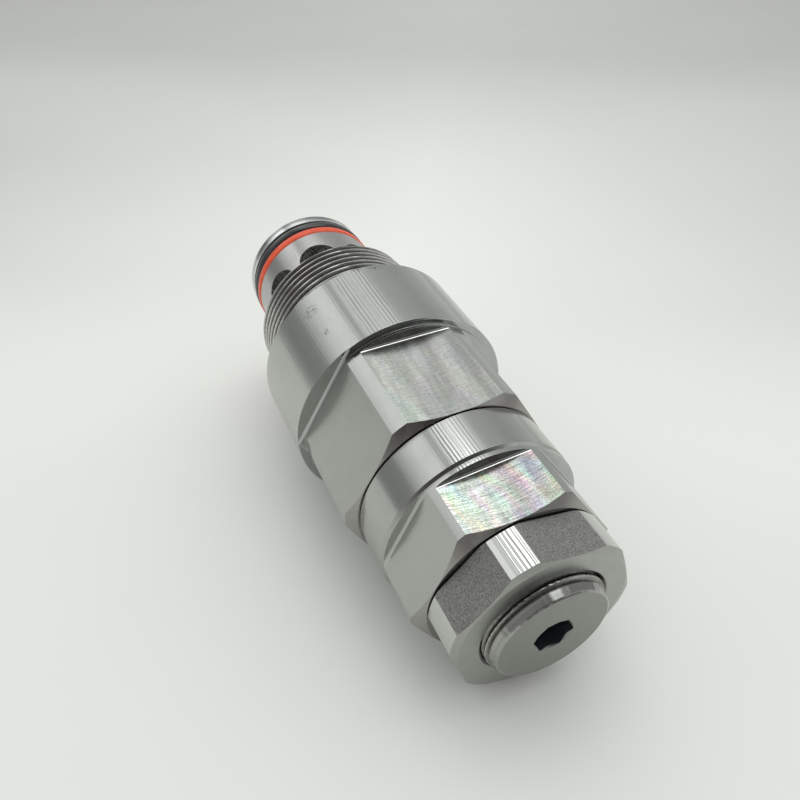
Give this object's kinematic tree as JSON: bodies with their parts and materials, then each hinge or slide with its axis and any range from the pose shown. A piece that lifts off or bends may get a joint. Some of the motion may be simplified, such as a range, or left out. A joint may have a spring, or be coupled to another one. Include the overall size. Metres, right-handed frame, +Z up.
{
  "type": "cartridge valve",
  "caption": "Pilot-operated screw-in hydraulic relief cartridge: ported nose with seal rings, cavity thread, collar, two wrench hexagons, lock nut and adjusting screw.",
  "frame": {"origin": "on the valve axis, at the middle of the overall length; the seating shoulder's plane is at X = -0.023645", "axes": "+X along the valve axis towards the adjusting screw, +Z out of one flat of the big hexagon, +Z up as the valve lies in the picture"},
  "size_m": [0.1388, 0.0544, 0.0544],
  "materials": {
    "body_steel": "satin turned and milled steel",
    "nut_steel": "rough grey steel, turned on the lands",
    "screw_steel": "satin turned steel",
    "poppet_steel": "ground steel",
    "spring_steel": "oil-dark spring wire",
    "rubber_black": "matt black rubber",
    "ring_orange": "satin orange-red seal plastic",
    "seal_plastic": "satin off-white seal plastic",
    "orifice_brass": "machined brass"
  },
  "bodies": {
    "cartridge": {"valve_body": "body_steel", "nose_sleeve": "body_steel", "nose_o_ring": "rubber_black", "nose_backup_ring": "ring_orange", "sleeve_o_ring": "rubber_black", "main_spring": "spring_steel", "pilot_seat": "poppet_steel", "pilot_seat_o_ring": "rubber_black", "pilot_spring": "spring_steel", "pilot_housing": "body_steel", "housing_o_ring": "rubber_black", "joint_ring": "rubber_black"},
    "main_poppet_set": {"main_poppet": "poppet_steel", "poppet_orifice": "orifice_brass", "poppet_seal_ring": "seal_plastic"},
    "pilot_poppet_set": {"pilot_poppet": "poppet_steel"},
    "spring_seat_set": {"spring_seat": "poppet_steel", "plunger_o_ring": "rubber_black", "plunger_backup_ring": "seal_plastic"},
    "screw_set": {"adjusting_screw": "screw_steel"},
    "nut_washer_set": {"lock_nut_seal": "rubber_black"},
    "nut_set": {"lock_nut": "nut_steel"}
  },
  "joints": [
    {"name": "main_poppet_lift", "type": "slide", "parent": "cartridge", "child": "main_poppet_set", "axis": [1, 0, 0], "range_m": [0, 0.005], "stiffness_N_per_m": 4000, "springref_m": -0.005, "deforming": ["main_spring"]},
    {"name": "pilot_poppet_lift", "type": "slide", "parent": "cartridge", "child": "pilot_poppet_set", "axis": [1, 0, 0], "range_m": [0, 0.001], "stiffness_N_per_m": 2000, "springref_m": -0.01},
    {"name": "adjuster_travel", "type": "slide", "parent": "cartridge", "child": "spring_seat_set", "axis": [1, 0, 0], "range_m": [-0.006, 0.002], "deforming": ["pilot_spring"]},
    {"name": "adjuster_turn", "type": "hinge", "parent": "spring_seat_set", "child": "screw_set", "pos_m": [0.03805, 0, 0], "axis": [1, 0, 0], "range_deg": [-1440.5, 480.5]},
    {"name": "lock_nut_travel", "type": "slide", "parent": "cartridge", "child": "nut_washer_set", "axis": [1, 0, 0], "range_m": [0, 0.003]},
    {"name": "lock_nut_turn", "type": "hinge", "parent": "nut_washer_set", "child": "nut_set", "pos_m": [0.05636, 0, 0], "axis": [1, 0, 0], "range_deg": [0, 720.5]}
  ],
  "couplings": [
    {"joint": "adjuster_turn", "follows": "adjuster_travel", "rad_per_m": 4188.8},
    {"joint": "lock_nut_turn", "follows": "lock_nut_travel", "rad_per_m": 4188.8}
  ]
}
